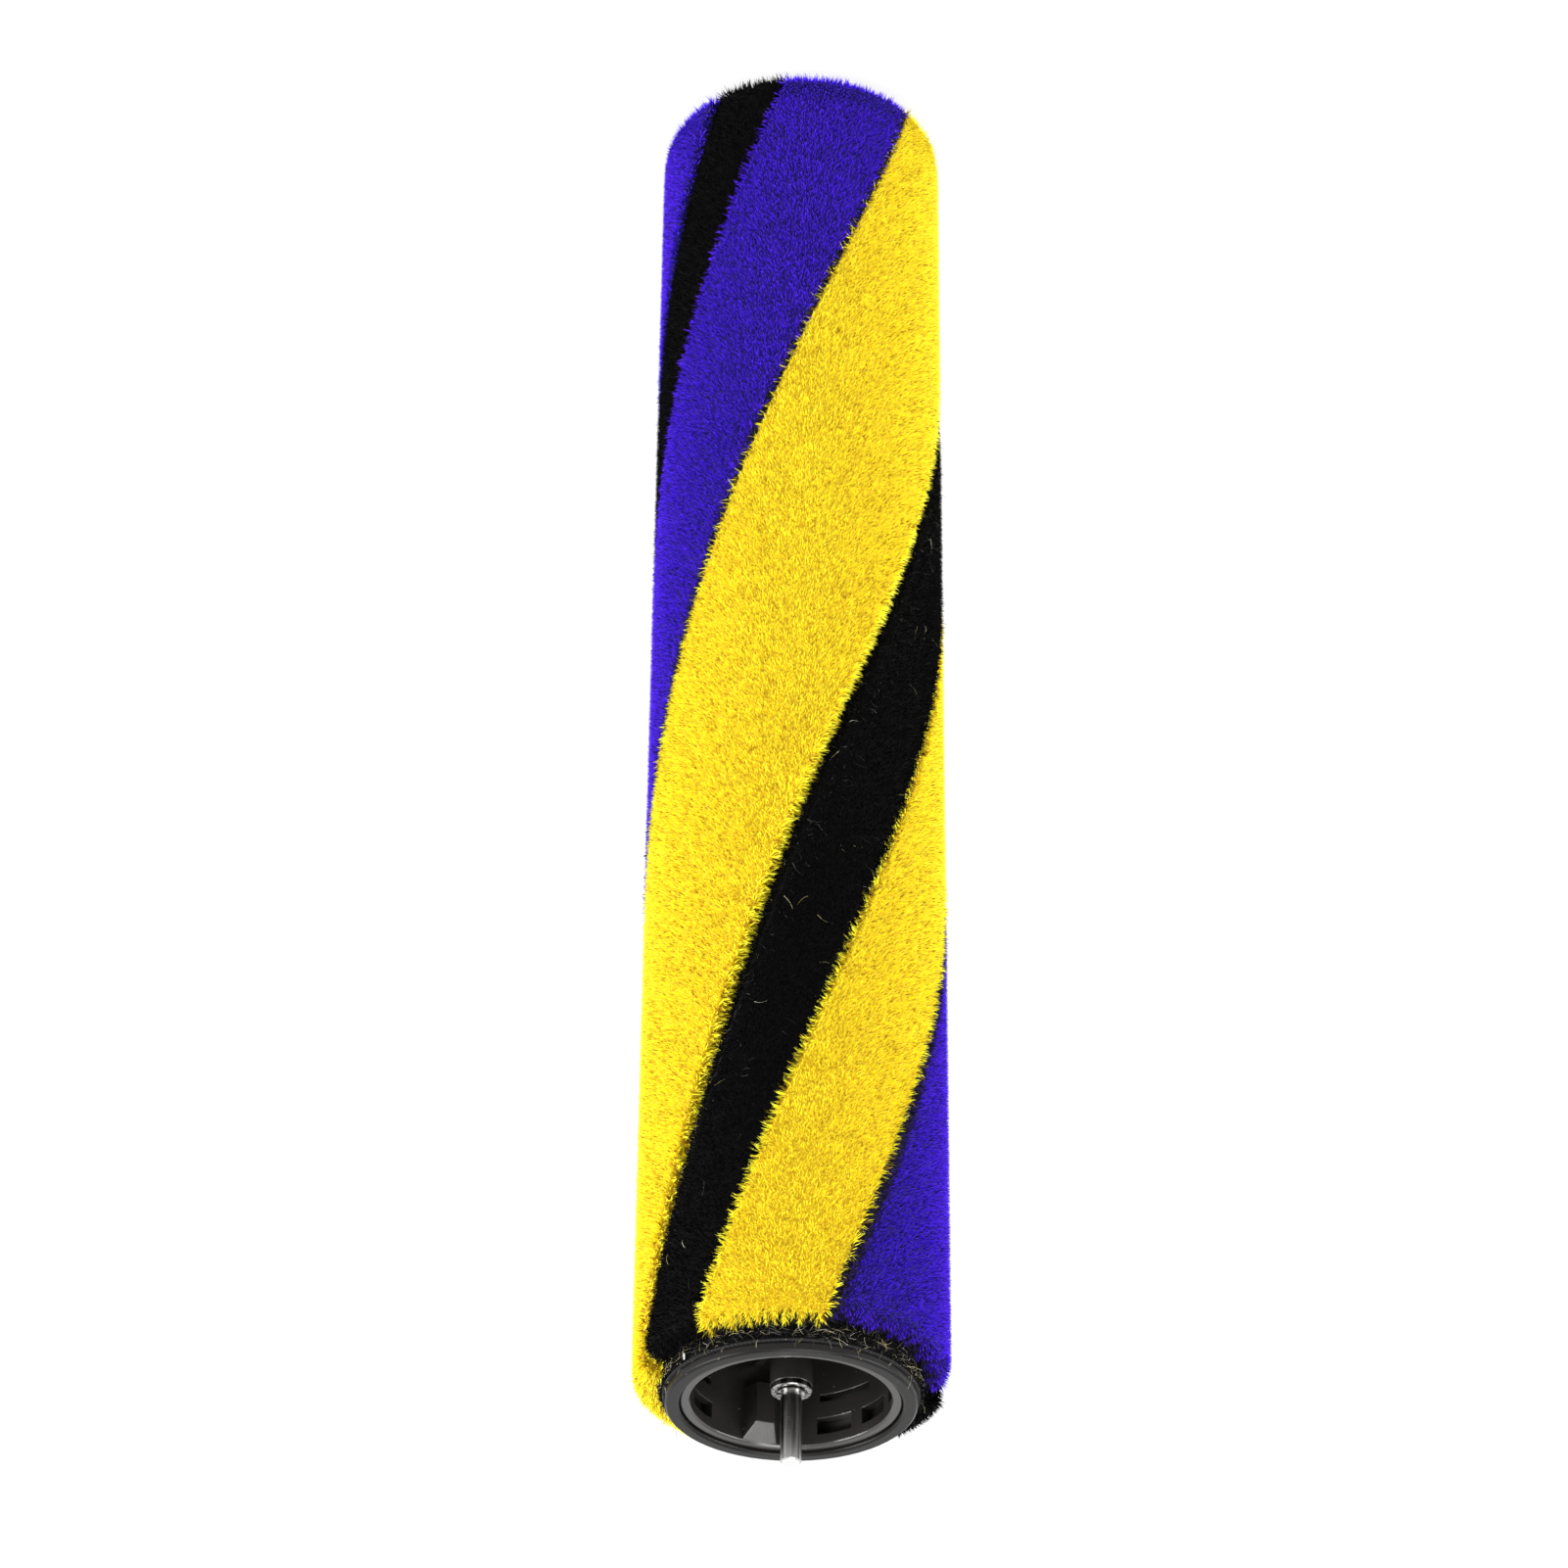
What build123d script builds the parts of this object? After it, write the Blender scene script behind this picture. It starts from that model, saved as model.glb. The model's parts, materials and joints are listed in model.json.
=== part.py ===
from build123d import *

import os
from math import cos, degrees, radians, sin

# Soft roller for a vacuum cleaner's floor head, in millimetres. It stands on its
# drive end, with its axis along +Z and its spindle at the top. The origin is on
# the axis, in the plane of the drive end's rim.

# Core tube: a moulded tube with a plain rim at each end and a stepped bore
TUBE_LENGTH = 230.0
RIM_R = 17.9
RIM_LENGTH = 1.3
RIM_CHAMFER = 0.3
FABRIC_SEAT_DROP = 0.3
RIM_WALL = 2.03
COUPLING_STEP = 0.42
MOTOR_STEP = 0.5
MOTOR_BORE_LENGTH = 150.0
FABRIC_SEAT_R = RIM_R - FABRIC_SEAT_DROP
CARRIER_BORE_R = RIM_R - RIM_WALL
COUPLING_BORE_R = CARRIER_BORE_R - COUPLING_STEP
MOTOR_BORE_R = COUPLING_BORE_R - MOTOR_STEP

# Glued and pressed pieces: the space left round them
FIT_CLEARANCE = 0.02

# Fabric: two woven bands wound in a right-handed helix, each with three pile fields
BACKING_THICKNESS = 0.7
BACKING_END_GAP = 0.2
PILE_HEIGHT = 4.18
PILE_NEAR_MARGIN = 3.2
PILE_FAR_MARGIN = 2.2
PILE_END_ROUND = 1.2
HELIX_LEAD = 369.0
BAND_COUNT = 2
BACKING_SEAM_WIDTH = 0.8
PILE_SEAM_WIDTH = 2.4
FIELD_GAP = 0.3
FIRST_SEAM_ANGLE = -10.0
# Angle that a field covers round the tube: the wide field of a band takes what the others leave
BLACK_A_ANGLE = 37.0
YELLOW_NARROW_ANGLE = 52.0
BLACK_B_ANGLE = 31.0
BLUE_NARROW_ANGLE = 58.0
BAND_ANGLE = 360 / BAND_COUNT
BLUE_WIDE_ANGLE = BAND_ANGLE - BLACK_A_ANGLE - YELLOW_NARROW_ANGLE
YELLOW_WIDE_ANGLE = BAND_ANGLE - BLACK_B_ANGLE - BLUE_NARROW_ANGLE
BAND_A_FIELDS = [
    ("black_pile_a", BLACK_A_ANGLE),
    ("yellow_pile_narrow", YELLOW_NARROW_ANGLE),
    ("blue_pile_wide", BLUE_WIDE_ANGLE),
]
BAND_B_FIELDS = [
    ("black_pile_b", BLACK_B_ANGLE),
    ("blue_pile_narrow", BLUE_NARROW_ANGLE),
    ("yellow_pile_wide", YELLOW_WIDE_ANGLE),
]
BACKING_R = FABRIC_SEAT_R + BACKING_THICKNESS
PILE_BASE_R = BACKING_R + FIT_CLEARANCE
PILE_R = PILE_BASE_R + PILE_HEIGHT
# How far a cutting shape runs past what it cuts
OVERRUN = 0.8

# Spindle: a steel pin that turns in two bushes
SPINDLE_R = 1.5
SPINDLE_PROUD = 8.8
SPINDLE_CHAMFER = 0.35
SPINDLE_TAIL = 1.2
RUNNING_CLEARANCE = 0.05
END_FLOAT = 0.1
GROOVE_DEPTH = 0.28
GROOVE_R = SPINDLE_R - GROOVE_DEPTH
BUSH_BORE_R = SPINDLE_R + RUNNING_CLEARANCE

# Bushes, rings and washer on the spindle
BUSH_FACE_DEPTH = 2.3
BUSH_WALL = 0.75
BUSH_FLANGE_WIDTH = 0.65
BUSH_FLANGE_THICKNESS = 0.9
BUSH_LENGTH = 6.0
BUSH_CHAMFER = 0.12
RING_PROUD = 0.45
RING_THICKNESS = 0.5
RING_RECESS = 0.4
RING_SIDE_CLEARANCE = 0.3
RING_OPENING = 0.6
CLIP_PROUD = 1.2
CLIP_THICKNESS = 0.5
WASHER_WIDTH = 1.25
WASHER_THICKNESS = 0.4
BUSH_BODY_R = BUSH_BORE_R + BUSH_WALL
BUSH_FLANGE_R = BUSH_BODY_R + BUSH_FLANGE_WIDTH
RING_R = SPINDLE_R + RING_PROUD
CLIP_R = SPINDLE_R + CLIP_PROUD
WASHER_R = BUSH_BORE_R + WASHER_WIDTH

# Bearing carrier: a moulded insert with a windowed wall, wedge lugs, a web and a boss
CARRIER_RECESS = 0.6
CARRIER_WALL = 1.58
CARRIER_CHAMFER = 0.3
WEB_DEPTH = 17.5
WEB_THICKNESS = 2.0
BOSS_WALL = 0.68
RIB_COUNT = 4
RIB_WIDTH = 1.2
RIB_HEIGHT = 4.0
FEATURE_ANGLE = 71.5
LUG_COUNT = 2
LUG_BASE_WIDTH = 5.7
LUG_TOP_WIDTH = 2.7
LUG_HEIGHT = 2.8
LUG_RAMP = 2.3
LUG_LENGTH = 8.5
LUG_ROOT = 0.5
WINDOW_DEPTH = 2.4
WINDOW_HEIGHT = 2.5
WINDOW_ANGLE = 22.0
WINDOW_PLACE_ANGLES = [45.0, 75.0, 105.0, 135.0]
SLOT_DEPTH = 7.5
SLOT_HEIGHT = 1.1
SLOT_ANGLE = 35.0
SLOT_PLACE_ANGLES = [53.0, 127.0]
CARRIER_R = CARRIER_BORE_R - FIT_CLEARANCE
CARRIER_INNER_R = CARRIER_R - CARRIER_WALL
BOSS_BORE_R = BUSH_BODY_R + FIT_CLEARANCE
BOSS_R = BOSS_BORE_R + BOSS_WALL

# Drive coupling: a splined ring on the shoulder above the motor bore, keyed to the tube
COUPLING_LENGTH = 14.0
COUPLING_WALL = 3.83
SPLINE_TOOTH_HEIGHT = 1.8
SPLINE_TOOTH_WIDTH = 2.6
SPLINE_COUNT = 10
KEY_COUNT = 3
KEY_WIDTH = 2.4
KEY_HEIGHT = 1.2
KEY_CLEARANCE = 0.05
COUPLING_R = COUPLING_BORE_R - FIT_CLEARANCE
SPLINE_ROOT_R = COUPLING_R - COUPLING_WALL

# Heights along the axis that several pieces share
CARRIER_TOP = TUBE_LENGTH - CARRIER_RECESS
WEB_TOP = TUBE_LENGTH - WEB_DEPTH
WEB_BOTTOM = WEB_TOP - WEB_THICKNESS
BUSH_FACE = TUBE_LENGTH - BUSH_FACE_DEPTH
BOSS_TOP = BUSH_FACE - BUSH_FLANGE_THICKNESS
RECESS_FLOOR = BUSH_FACE - RING_RECESS
RING_BOTTOM = RECESS_FLOOR + END_FLOAT
RING_TOP = RING_BOTTOM + RING_THICKNESS
REAR_FLANGE_BOTTOM = WEB_BOTTOM - BUSH_FLANGE_THICKNESS
WASHER_TOP = REAR_FLANGE_BOTTOM - END_FLOAT
CLIP_TOP = WASHER_TOP - WASHER_THICKNESS
CLIP_BOTTOM = CLIP_TOP - CLIP_THICKNESS
SPINDLE_BOTTOM = CLIP_BOTTOM - SPINDLE_TAIL
SPINDLE_TIP = TUBE_LENGTH + SPINDLE_PROUD


def polar(radius, angle):
    """Point at a radius and an angle in degrees."""
    return (radius * cos(radians(angle)), radius * sin(radians(angle)))


def sector(inner_r, outer_r, first, last):
    """Draws the part of a ring between two angles in the sketch that is open."""
    middle = (first + last) / 2
    with BuildLine() as outline:
        inner = ThreePointArc(polar(inner_r, first), polar(inner_r, middle), polar(inner_r, last))
        outer = ThreePointArc(polar(outer_r, first), polar(outer_r, middle), polar(outer_r, last))
        Line(inner @ 0, outer @ 0)
        Line(inner @ 1, outer @ 1)
    make_face(outline.edges())


def helical_piece(name, first, last, inner_r, outer_r, bottom, top, rounding):
    """Wedge between two angles at the near rim, twisted along the tube and trimmed to a ring."""
    turn = 360 * TUBE_LENGTH / HELIX_LEAD
    with BuildLine() as spine:
        Line((0, 0, 0), (0, 0, TUBE_LENGTH))
    with BuildLine() as twist:
        Helix(HELIX_LEAD, TUBE_LENGTH, outer_r)
    with BuildPart() as piece:
        with BuildSketch():
            sector(inner_r - OVERRUN, outer_r + OVERRUN, first - turn, last - turn)
        sweep(path=spine.wire(), binormal=twist.wire())
        with BuildSketch(Plane.XZ):
            with Locations(((inner_r + outer_r) / 2, (bottom + top) / 2)):
                ring = Rectangle(outer_r - inner_r, top - bottom)
            if rounding:
                fillet(ring.vertices().group_by(Axis.X)[-1], rounding)
        revolve(axis=Axis.Z, mode=Mode.INTERSECT)
    save(piece.part, name)


def save(part, name):
    """Labels a finished piece and writes it under its own name."""
    part.label = name
    export_step(part, f"parts/{name}.step")


os.makedirs("parts", exist_ok=True)

# Core tube: the profile is turned, with the fabric's seat between the rims
with BuildPart() as core_tube:
    with BuildSketch(Plane.XZ) as tube_profile:
        with BuildLine():
            Polyline(
                (MOTOR_BORE_R, 0),
                (RIM_R, 0),
                (RIM_R, RIM_LENGTH),
                (FABRIC_SEAT_R, RIM_LENGTH),
                (FABRIC_SEAT_R, TUBE_LENGTH - RIM_LENGTH),
                (RIM_R, TUBE_LENGTH - RIM_LENGTH),
                (RIM_R, TUBE_LENGTH),
                (CARRIER_BORE_R, TUBE_LENGTH),
                (CARRIER_BORE_R, WEB_BOTTOM),
                (COUPLING_BORE_R, WEB_BOTTOM),
                (COUPLING_BORE_R, MOTOR_BORE_LENGTH),
                (MOTOR_BORE_R, MOTOR_BORE_LENGTH),
                close=True,
            )
        make_face()
        near_edges = tube_profile.vertices().group_by(Axis.Y)[-1]
        far_edges = tube_profile.vertices().group_by(Axis.Y)[0]
        chamfer(near_edges + far_edges, RIM_CHAMFER)
    revolve(axis=Axis.Z)
    with BuildSketch(Plane.XY.offset(MOTOR_BORE_LENGTH)):
        with PolarLocations(COUPLING_BORE_R, KEY_COUNT):
            Rectangle(2 * KEY_HEIGHT, KEY_WIDTH)
        Circle(FABRIC_SEAT_R, mode=Mode.INTERSECT)
    extrude(amount=COUPLING_LENGTH)
save(core_tube.part, "core_tube")

# Drive coupling: internal splines, and a notch for each key of the tube
with BuildPart() as drive_coupling:
    with BuildSketch(Plane.XY.offset(MOTOR_BORE_LENGTH)):
        Circle(COUPLING_R)
        Circle(SPLINE_ROOT_R, mode=Mode.SUBTRACT)
        with PolarLocations(SPLINE_ROOT_R, SPLINE_COUNT):
            Rectangle(2 * SPLINE_TOOTH_HEIGHT, SPLINE_TOOTH_WIDTH)
        with PolarLocations(COUPLING_BORE_R, KEY_COUNT):
            Rectangle(2 * (KEY_HEIGHT + KEY_CLEARANCE), KEY_WIDTH + 2 * KEY_CLEARANCE, mode=Mode.SUBTRACT)
    extrude(amount=COUPLING_LENGTH)
save(drive_coupling.part, "drive_coupling")

# Wedge lug: a tapered block whose front slopes down to the wall, drawn towards +X
with BuildPart() as lug:
    wall_r = CARRIER_INNER_R + LUG_ROOT
    lug_top_r = CARRIER_INNER_R - LUG_HEIGHT
    with BuildSketch(Plane.XY.offset(CARRIER_TOP - LUG_LENGTH)):
        with BuildLine():
            Polyline(
                (wall_r, -LUG_BASE_WIDTH / 2),
                (wall_r, LUG_BASE_WIDTH / 2),
                (lug_top_r, LUG_TOP_WIDTH / 2),
                (lug_top_r, -LUG_TOP_WIDTH / 2),
                close=True,
            )
        make_face()
    extrude(amount=LUG_LENGTH)
    with BuildSketch(Plane.XZ):
        with BuildLine():
            Polyline(
                (wall_r, CARRIER_TOP - CARRIER_CHAMFER),
                (CARRIER_INNER_R, CARRIER_TOP - CARRIER_CHAMFER),
                (lug_top_r, CARRIER_TOP - LUG_RAMP),
                (lug_top_r, CARRIER_TOP - LUG_LENGTH),
                (wall_r, CARRIER_TOP - LUG_LENGTH),
                close=True,
            )
        make_face()
    extrude(amount=LUG_BASE_WIDTH, both=True, mode=Mode.INTERSECT)

# Bearing carrier: turned wall, web and boss, then ribs, lugs, windows and slots
with BuildPart() as bearing_carrier:
    with BuildSketch(Plane.XZ) as carrier_profile:
        with BuildLine():
            Polyline(
                (CARRIER_R, WEB_BOTTOM),
                (CARRIER_R, CARRIER_TOP),
                (CARRIER_INNER_R, CARRIER_TOP),
                (CARRIER_INNER_R, WEB_TOP),
                (BOSS_R, WEB_TOP),
                (BOSS_R, BOSS_TOP),
                (BOSS_BORE_R, BOSS_TOP),
                (BOSS_BORE_R, WEB_BOTTOM),
                close=True,
            )
        make_face()
        chamfer(carrier_profile.vertices().group_by(Axis.Y)[-1], CARRIER_CHAMFER)
    revolve(axis=Axis.Z)
    with BuildSketch(Plane.XY.offset(WEB_TOP)):
        with PolarLocations(0, RIB_COUNT, start_angle=FEATURE_ANGLE):
            with Locations(((BOSS_R + CARRIER_INNER_R) / 2, 0)):
                Rectangle(CARRIER_INNER_R - BOSS_R + 2 * LUG_ROOT, RIB_WIDTH)
    extrude(amount=RIB_HEIGHT)
    with PolarLocations(0, LUG_COUNT, start_angle=FEATURE_ANGLE):
        add(lug.part)
    with BuildSketch(Plane.XY.offset(TUBE_LENGTH - WINDOW_DEPTH)):
        for place in WINDOW_PLACE_ANGLES:
            for middle in (FEATURE_ANGLE + place, FEATURE_ANGLE + 180 + place):
                sector(
                    CARRIER_INNER_R - OVERRUN,
                    CARRIER_BORE_R + OVERRUN,
                    middle - WINDOW_ANGLE / 2,
                    middle + WINDOW_ANGLE / 2,
                )
    extrude(amount=-WINDOW_HEIGHT, mode=Mode.SUBTRACT)
    with BuildSketch(Plane.XY.offset(TUBE_LENGTH - SLOT_DEPTH)):
        for place in SLOT_PLACE_ANGLES:
            for middle in (FEATURE_ANGLE + place, FEATURE_ANGLE + 180 + place):
                sector(
                    CARRIER_INNER_R - OVERRUN,
                    CARRIER_BORE_R + OVERRUN,
                    middle - SLOT_ANGLE / 2,
                    middle + SLOT_ANGLE / 2,
                )
    extrude(amount=-SLOT_HEIGHT, mode=Mode.SUBTRACT)
save(bearing_carrier.part, "bearing_carrier")

# Front bush: a flanged sleeve whose face has a recess for the retaining ring
with BuildPart() as front_bush:
    recess_r = RING_R + RING_SIDE_CLEARANCE
    with BuildSketch(Plane.XZ) as front_profile:
        with BuildLine():
            Polyline(
                (BUSH_BORE_R, BUSH_FACE - BUSH_LENGTH),
                (BUSH_BODY_R, BUSH_FACE - BUSH_LENGTH),
                (BUSH_BODY_R, BOSS_TOP),
                (BUSH_FLANGE_R, BOSS_TOP),
                (BUSH_FLANGE_R, BUSH_FACE),
                (recess_r, BUSH_FACE),
                (recess_r, RECESS_FLOOR),
                (BUSH_BORE_R, RECESS_FLOOR),
                close=True,
            )
        make_face()
        chamfer(front_profile.vertices().group_by(Axis.Y)[-1], BUSH_CHAMFER)
    revolve(axis=Axis.Z)
save(front_bush.part, "front_bush")

# Rear bush: a plain flanged sleeve, pressed in from behind the web
with BuildPart() as rear_bush:
    with BuildSketch(Plane.XZ):
        with BuildLine():
            Polyline(
                (BUSH_BORE_R, REAR_FLANGE_BOTTOM),
                (BUSH_FLANGE_R, REAR_FLANGE_BOTTOM),
                (BUSH_FLANGE_R, WEB_BOTTOM),
                (BUSH_BODY_R, WEB_BOTTOM),
                (BUSH_BODY_R, REAR_FLANGE_BOTTOM + BUSH_LENGTH),
                (BUSH_BORE_R, REAR_FLANGE_BOTTOM + BUSH_LENGTH),
                close=True,
            )
        make_face()
    revolve(axis=Axis.Z)
save(rear_bush.part, "rear_bush")

# Spindle: a chamfered pin with a groove for each ring that holds it
with BuildPart() as spindle:
    with BuildSketch(Plane.XZ) as spindle_profile:
        with BuildLine():
            Polyline(
                (0, SPINDLE_BOTTOM),
                (SPINDLE_R, SPINDLE_BOTTOM),
                (SPINDLE_R, CLIP_BOTTOM),
                (GROOVE_R, CLIP_BOTTOM),
                (GROOVE_R, CLIP_TOP),
                (SPINDLE_R, CLIP_TOP),
                (SPINDLE_R, RING_BOTTOM),
                (GROOVE_R, RING_BOTTOM),
                (GROOVE_R, RING_TOP),
                (SPINDLE_R, RING_TOP),
                (SPINDLE_R, SPINDLE_TIP),
                (0, SPINDLE_TIP),
                close=True,
            )
        make_face()
        outer_corners = spindle_profile.vertices().group_by(Axis.X)[-1].sort_by(Axis.Y)
        chamfer([outer_corners[0], outer_corners[-1]], SPINDLE_CHAMFER)
    revolve(axis=Axis.Z)
save(spindle.part, "spindle")

# Front retaining ring: a split ring in the spindle's front groove
with BuildPart() as front_retaining_ring:
    with BuildSketch(Plane.XY.offset(RING_BOTTOM)):
        Circle(RING_R)
        Circle(GROOVE_R + FIT_CLEARANCE, mode=Mode.SUBTRACT)
        with Locations((RING_R, 0)):
            Rectangle(2 * (RING_R - GROOVE_R) + OVERRUN, RING_OPENING, mode=Mode.SUBTRACT)
    extrude(amount=RING_THICKNESS)
save(front_retaining_ring.part, "front_retaining_ring")

# Rear thrust washer: it lies between the rear bush and its clip
with BuildPart() as rear_thrust_washer:
    with BuildSketch(Plane.XY.offset(CLIP_TOP)):
        Circle(WASHER_R)
        Circle(BUSH_BORE_R, mode=Mode.SUBTRACT)
    extrude(amount=WASHER_THICKNESS)
save(rear_thrust_washer.part, "rear_thrust_washer")

# Rear retaining clip: a side-fitted clip in the spindle's rear groove
with BuildPart() as rear_retaining_clip:
    with BuildSketch(Plane.XY.offset(CLIP_BOTTOM)):
        Circle(CLIP_R)
        Circle(GROOVE_R + FIT_CLEARANCE, mode=Mode.SUBTRACT)
        with Locations((CLIP_R, 0)):
            Rectangle(2 * CLIP_R, 2 * GROOVE_R, mode=Mode.SUBTRACT)
    extrude(amount=CLIP_THICKNESS)
save(rear_retaining_clip.part, "rear_retaining_clip")

# Fabric bands: the backing lies on the tube, and the pile fields stand on the backing
for band, fields in (("backing_band_a", BAND_A_FIELDS), ("backing_band_b", BAND_B_FIELDS)):
    band_first = FIRST_SEAM_ANGLE - (0 if fields is BAND_A_FIELDS else BAND_ANGLE)
    seam_half = degrees(BACKING_SEAM_WIDTH / 2 / FABRIC_SEAT_R)
    helical_piece(
        band,
        band_first - BAND_ANGLE + seam_half,
        band_first - seam_half,
        FABRIC_SEAT_R + FIT_CLEARANCE,
        BACKING_R,
        RIM_LENGTH + BACKING_END_GAP,
        TUBE_LENGTH - RIM_LENGTH - BACKING_END_GAP,
        0,
    )
    field_first = band_first
    for number, (field, angle) in enumerate(fields):
        gap_before = PILE_SEAM_WIDTH if number == 0 else FIELD_GAP
        gap_after = PILE_SEAM_WIDTH if number == len(fields) - 1 else FIELD_GAP
        helical_piece(
            field,
            field_first - angle + degrees(gap_after / 2 / PILE_R),
            field_first - degrees(gap_before / 2 / PILE_R),
            PILE_BASE_R,
            PILE_R,
            PILE_FAR_MARGIN,
            TUBE_LENGTH - PILE_NEAR_MARGIN,
            PILE_END_ROUND,
        )
        field_first -= angle
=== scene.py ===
# %% [markdown]
# # A soft roller for a vacuum cleaner's floor head
#
# The real roller is a moulded tube wound with two woven bands of coloured pile. Its hard
# pieces come from CAD as a fixed frame, in metres, standing on the drive end with the
# spindle at the top. This lesson dresses that frame: it grows the pile, frays the fabric's
# hem, and gives each hard piece its finish.

# %% The frame
import json
import math
from dataclasses import dataclass, replace

import bmesh
import bpy
import numpy as np
from mathutils import Matrix, Vector


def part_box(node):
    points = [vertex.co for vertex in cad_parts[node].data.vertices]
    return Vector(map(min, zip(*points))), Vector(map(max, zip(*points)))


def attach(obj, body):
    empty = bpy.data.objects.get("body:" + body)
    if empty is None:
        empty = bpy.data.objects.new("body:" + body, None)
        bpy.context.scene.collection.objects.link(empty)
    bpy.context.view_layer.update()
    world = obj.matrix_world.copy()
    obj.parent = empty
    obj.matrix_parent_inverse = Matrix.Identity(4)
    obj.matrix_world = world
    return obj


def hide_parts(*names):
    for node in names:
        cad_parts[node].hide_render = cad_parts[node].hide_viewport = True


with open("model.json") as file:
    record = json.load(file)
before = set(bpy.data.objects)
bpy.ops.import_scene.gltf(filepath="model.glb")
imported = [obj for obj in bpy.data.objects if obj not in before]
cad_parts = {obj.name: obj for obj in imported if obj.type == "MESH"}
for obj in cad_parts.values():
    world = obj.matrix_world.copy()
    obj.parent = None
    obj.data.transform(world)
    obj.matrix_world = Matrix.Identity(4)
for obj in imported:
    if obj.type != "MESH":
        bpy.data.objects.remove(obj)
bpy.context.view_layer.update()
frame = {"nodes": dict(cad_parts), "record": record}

MM = 0.001
TUBE_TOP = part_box("core_tube")[1][2]
BACKING_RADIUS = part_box("backing_band_a")[1][0]
BACKING_LOW, BACKING_HIGH = (corner[2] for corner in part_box("backing_band_a"))
PILE_LOW, PILE_HIGH = (corner[2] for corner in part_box("blue_pile_wide"))
PILE_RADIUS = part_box("blue_pile_wide")[1][0]
TIP_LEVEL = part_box("spindle")[1][2]
print(f"frame: {len(frame['nodes'])} nodes")
print(f"tube {TUBE_TOP / MM:.0f} mm long, pile radius {PILE_RADIUS / MM:.1f} mm")

# %% [markdown]
# ## Camera
#
# The roller lies in the picture with its spindle towards the viewer, and here it stands on
# its other end. So the camera looks down on the standing roller and is rolled half a turn,
# which puts the spindle at the bottom of the frame. A long lens keeps the taper small.

# %% Camera
VIEW_TARGET = Vector((1.87, 0, 125.0)) * MM
VIEW_DISTANCE = 760.4 * MM
VIEW_ELEVATION = math.radians(33.04)
VIEW_ROLL = math.radians(180.56)
LENS_MM = 114.3


def add_object(name, data):
    """Object at the origin that holds the data."""
    made = bpy.data.objects.new(name, data)
    bpy.context.collection.objects.link(made)
    return made


def make_camera():
    """Camera on the -Y side of the roller, tipped down and rolled over."""
    camera = add_object("camera", bpy.data.cameras.new("camera"))
    camera.data.lens = LENS_MM
    camera.data.clip_start = 0.01
    away = Vector((0, -math.cos(VIEW_ELEVATION), math.sin(VIEW_ELEVATION)))
    tip = Matrix.Rotation(math.pi / 2 - VIEW_ELEVATION, 4, "X")
    roll = Matrix.Rotation(VIEW_ROLL, 4, "Z")
    camera.matrix_world = Matrix.Translation(VIEW_TARGET + away * VIEW_DISTANCE) @ tip @ roll
    bpy.context.scene.camera = camera
    return camera


print("camera at", [round(value, 3) for value in make_camera().matrix_world.translation])

# %% [markdown]
# ## Nodes from Python
#
# Materials and Geometry Nodes are both graphs of nodes, and a long graph is hard to read as
# calls. A small class wraps an output socket, so sums are written as sums, and one method
# adds any other node from its type, its settings and what goes into its sockets.


# %% A graph that is written as Python
class Flow:
    """An output socket of a graph. Arithmetic on it adds Math nodes."""

    def __init__(self, graph, socket):
        self.graph = graph
        self.socket = socket

    def math(self, operation, *values):
        return self.graph.node("ShaderNodeMath", {"operation": operation}, dict(enumerate(values)))

    def __add__(self, other):
        return self.math("ADD", self, other)

    def __radd__(self, other):
        return self.math("ADD", other, self)

    def __sub__(self, other):
        return self.math("SUBTRACT", self, other)

    def __rsub__(self, other):
        return self.math("SUBTRACT", other, self)

    def __mul__(self, other):
        return self.math("MULTIPLY", self, other)

    def __rmul__(self, other):
        return self.math("MULTIPLY", other, self)

    def __truediv__(self, other):
        return self.math("DIVIDE", self, other)

    def __lt__(self, other):
        return self.math("LESS_THAN", self, other)

    def sine(self):
        return self.math("SINE", self)

    def clamp(self, low=0.0, high=1.0):
        return self.graph.node("ShaderNodeClamp", {}, {"Value": self, "Min": low, "Max": high})

    def out(self, name):
        """Another output of the same node."""
        return Flow(self.graph, self.socket.node.outputs[name])


class Graph:
    """A node tree that Python fills."""

    def __init__(self, tree):
        self.tree = tree

    def node(self, kind, settings=None, inputs=None, output=0):
        made = self.tree.nodes.new(kind)
        for name, value in (settings or {}).items():
            if name == "stops":
                self.set_stops(made.color_ramp.elements, value)
            else:
                setattr(made, name, value)
        for name, value in (inputs or {}).items():
            for item in value if isinstance(value, list) else [value]:
                if isinstance(item, Flow):
                    self.tree.links.new(item.socket, made.inputs[name])
                else:
                    made.inputs[name].default_value = item
        return Flow(self, made.outputs[output]) if made.outputs else made

    def set_stops(self, elements, stops):
        elements.remove(elements[1])
        elements[0].position, elements[0].color = stops[0][0], colour(*stops[0][1])
        for position, shade in stops[1:]:
            elements.new(position).color = colour(*shade)


def colour(red, green, blue):
    """Linear RGBA of a colour written in the 0 to 255 numbers of a screen."""
    shares = (red / 255, green / 255, blue / 255)
    linear = [c / 12.92 if c <= 0.04045 else ((c + 0.055) / 1.055) ** 2.4 for c in shares]
    return (*linear, 1.0)


def new_material(name):
    """A material with only a Principled shader, and its graph."""
    material = bpy.data.materials.new(name)
    material.use_nodes = True
    return material, Graph(material.node_tree), material.node_tree.nodes["Principled BSDF"]


def feed(graph, shader, **inputs):
    """Links or sets sockets of a shader. Words of a socket's name are joined by _ here."""
    for name, value in inputs.items():
        socket = shader.inputs[name.replace("_", " ")]
        if isinstance(value, Flow):
            graph.tree.links.new(value.socket, socket)
        else:
            socket.default_value = value


def vector(graph, operation, *values):
    """One Vector Math node."""
    return graph.node("ShaderNodeVectorMath", {"operation": operation}, dict(enumerate(values)))


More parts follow.
